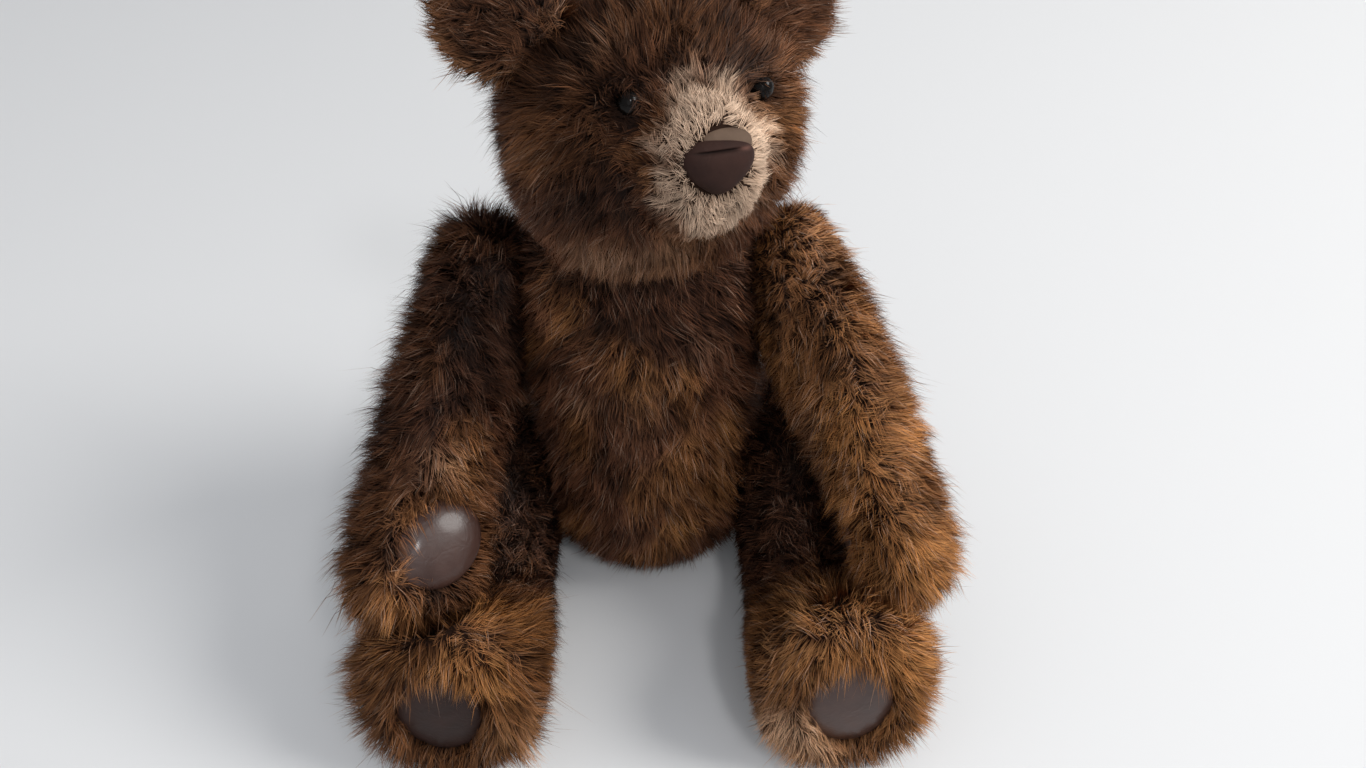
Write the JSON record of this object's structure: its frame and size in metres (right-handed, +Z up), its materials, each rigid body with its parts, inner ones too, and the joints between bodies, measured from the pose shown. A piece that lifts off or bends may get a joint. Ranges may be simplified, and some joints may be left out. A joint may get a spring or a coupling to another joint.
{
  "type": "teddy bear",
  "caption": "Seated soft fur teddy bear with leather nose and pads, glossy eyes, and disc joints that turn the head, raise the arms and swing the legs down to stand.",
  "frame": {"origin": "on the floor, under the middle of the seat", "axes": "+Z up; the bear sits facing -Y, with its own left side at +X"},
  "size_m": [0.2884, 0.2317, 0.3518],
  "materials": {
    "brown_fur": "long soft fur, filled",
    "dark_leather": "soft, slightly glossy, scuffed",
    "dark_glass": "glossy black",
    "hardboard": "matt pressed board",
    "zinc_steel": "zinc plated"
  },
  "bodies": {
    "torso": {"torso": "brown_fur", "neck_body_disc": "hardboard", "neck_body_washer": "zinc_steel", "shoulder_left_body_disc": "hardboard", "shoulder_left_body_washer": "zinc_steel", "shoulder_right_body_disc": "hardboard", "shoulder_right_body_washer": "zinc_steel", "hip_left_body_disc": "hardboard", "hip_left_body_washer": "zinc_steel", "hip_right_body_disc": "hardboard", "hip_right_body_washer": "zinc_steel"},
    "head": {"head": "brown_fur", "ear_left": "brown_fur", "ear_right": "brown_fur", "nose": "dark_leather", "eye_left": "dark_glass", "eye_right": "dark_glass", "neck_limb_disc": "hardboard", "neck_limb_washer": "zinc_steel", "neck_bolt": "zinc_steel", "neck_lock_nut": "zinc_steel"},
    "arm_left": {"arm_left": "brown_fur", "hand_pad_left": "dark_leather", "shoulder_left_limb_disc": "hardboard", "shoulder_left_limb_washer": "zinc_steel", "shoulder_left_bolt": "zinc_steel", "shoulder_left_lock_nut": "zinc_steel"},
    "leg_left": {"leg_left": "brown_fur", "foot_pad_left": "dark_leather", "hip_left_limb_disc": "hardboard", "hip_left_limb_washer": "zinc_steel", "hip_left_bolt": "zinc_steel", "hip_left_lock_nut": "zinc_steel"},
    "arm_right": {"arm_right": "brown_fur", "hand_pad_right": "dark_leather", "shoulder_right_limb_disc": "hardboard", "shoulder_right_limb_washer": "zinc_steel", "shoulder_right_bolt": "zinc_steel", "shoulder_right_lock_nut": "zinc_steel"},
    "leg_right": {"leg_right": "brown_fur", "foot_pad_right": "dark_leather", "hip_right_limb_disc": "hardboard", "hip_right_limb_washer": "zinc_steel", "hip_right_bolt": "zinc_steel", "hip_right_lock_nut": "zinc_steel"}
  },
  "joints": [
    {"name": "neck", "type": "hinge", "parent": "torso", "child": "head", "pos_m": [0, -0.004, 0.207], "axis": [0, 0.2756, 0.9613], "continuous": true},
    {"name": "shoulder_left", "type": "hinge", "parent": "torso", "child": "arm_left", "pos_m": [0.054, 0.006, 0.182], "axis": [-0.9623, -0.2578, 0.0872], "range_deg": [0, 100]},
    {"name": "shoulder_right", "type": "hinge", "parent": "torso", "child": "arm_right", "pos_m": [-0.054, 0.006, 0.182], "axis": [-0.9888, 0.1214, -0.0872], "range_deg": [0, 100]},
    {"name": "hip_left", "type": "hinge", "parent": "torso", "child": "leg_left", "pos_m": [0.047, 0.01, 0.047], "axis": [0.9994, 0.0349, 0], "range_deg": [0, 90]},
    {"name": "hip_right", "type": "hinge", "parent": "torso", "child": "leg_right", "pos_m": [-0.047, 0.01, 0.047], "axis": [0.9994, -0.0349, 0], "range_deg": [0, 90]}
  ]
}
